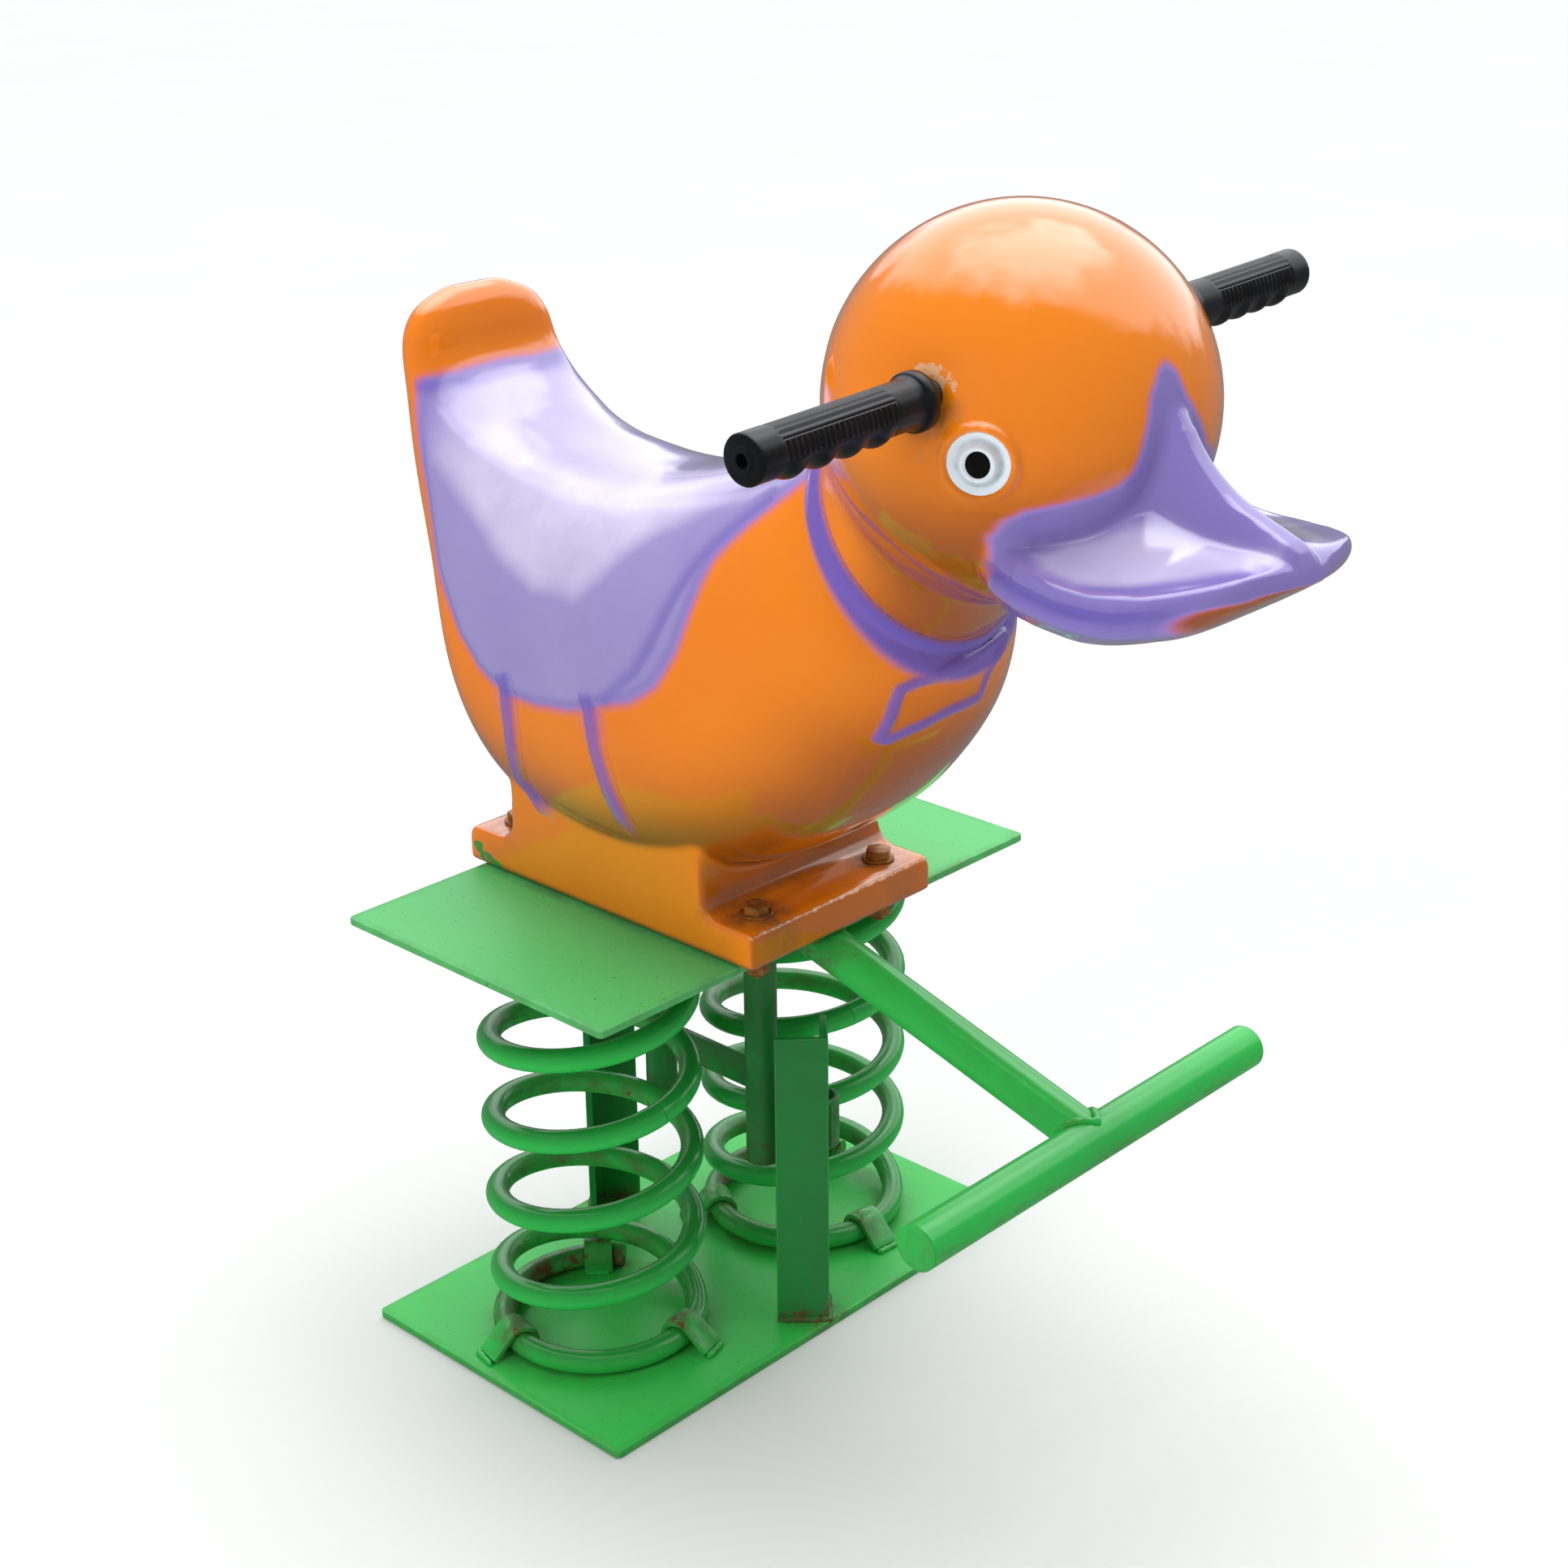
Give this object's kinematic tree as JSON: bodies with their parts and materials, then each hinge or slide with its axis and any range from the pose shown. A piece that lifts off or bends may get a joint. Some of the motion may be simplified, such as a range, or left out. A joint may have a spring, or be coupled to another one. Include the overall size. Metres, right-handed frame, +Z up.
{
  "type": "spring rider",
  "caption": "Playground spring rider: a moulded duck with a dished saddle, handlebar and footrest, carried on coil springs between steel plates.",
  "frame": {"origin": "middle of the underside of the lower plate", "axes": "+Z up, the duck faces -Y, its right side is -X"},
  "size_m": [0.5368, 0.7592, 0.8791],
  "materials": {
    "green_steel": "glossy green enamel, worn and dusty at the clips",
    "moulded_shell": "glossy orange gelcoat on glass fibre with airbrushed purple",
    "grip_rubber": "satin black moulded rubber with ribs",
    "bolt_steel": "zinc-plated steel under stained orange overspray"
  },
  "bodies": {
    "base": {"base_plate": "green_steel", "front_post": "green_steel", "rear_post": "green_steel", "post_sleeve": "green_steel", "right_lower_clips": "green_steel", "left_lower_clips": "green_steel"},
    "bounce_link": {"left_spring": "green_steel"},
    "nod_link": {"right_spring": "green_steel"},
    "rocker": {"right_upper_clips": "green_steel", "left_upper_clips": "green_steel", "top_plate": "green_steel", "front_hanger": "green_steel", "rear_hanger": "green_steel", "tie_bar": "green_steel", "footrest_stem": "green_steel", "footrest_crossbar": "green_steel", "footrest_caps": "green_steel", "right_shell": "moulded_shell", "left_shell": "moulded_shell", "handlebar": "green_steel", "right_grip": "grip_rubber", "left_grip": "grip_rubber", "flange_bolts": "bolt_steel", "flange_washers": "bolt_steel", "flange_nuts": "bolt_steel"}
  },
  "joints": [
    {"name": "bounce", "type": "slide", "parent": "base", "child": "bounce_link", "axis": [0, 0, 1], "range_m": [-0.015, 0], "stiffness_N_per_m": 116000, "springref_m": 0.003, "deforming": ["left_spring", "right_spring"]},
    {"name": "nod", "type": "hinge", "parent": "bounce_link", "child": "nod_link", "pos_m": [0, 0, 0.1715], "axis": [1, 0, 0], "range_deg": [-15, 15], "stiffness_Nm_per_rad": 722, "springref_deg": -0.89, "deforming": ["left_spring", "right_spring"]},
    {"name": "sway", "type": "hinge", "parent": "nod_link", "child": "rocker", "pos_m": [0, 0, 0.1715], "axis": [0, 1, 0], "range_deg": [-5, 5], "stiffness_Nm_per_rad": 1534, "deforming": ["left_spring", "right_spring"]}
  ]
}
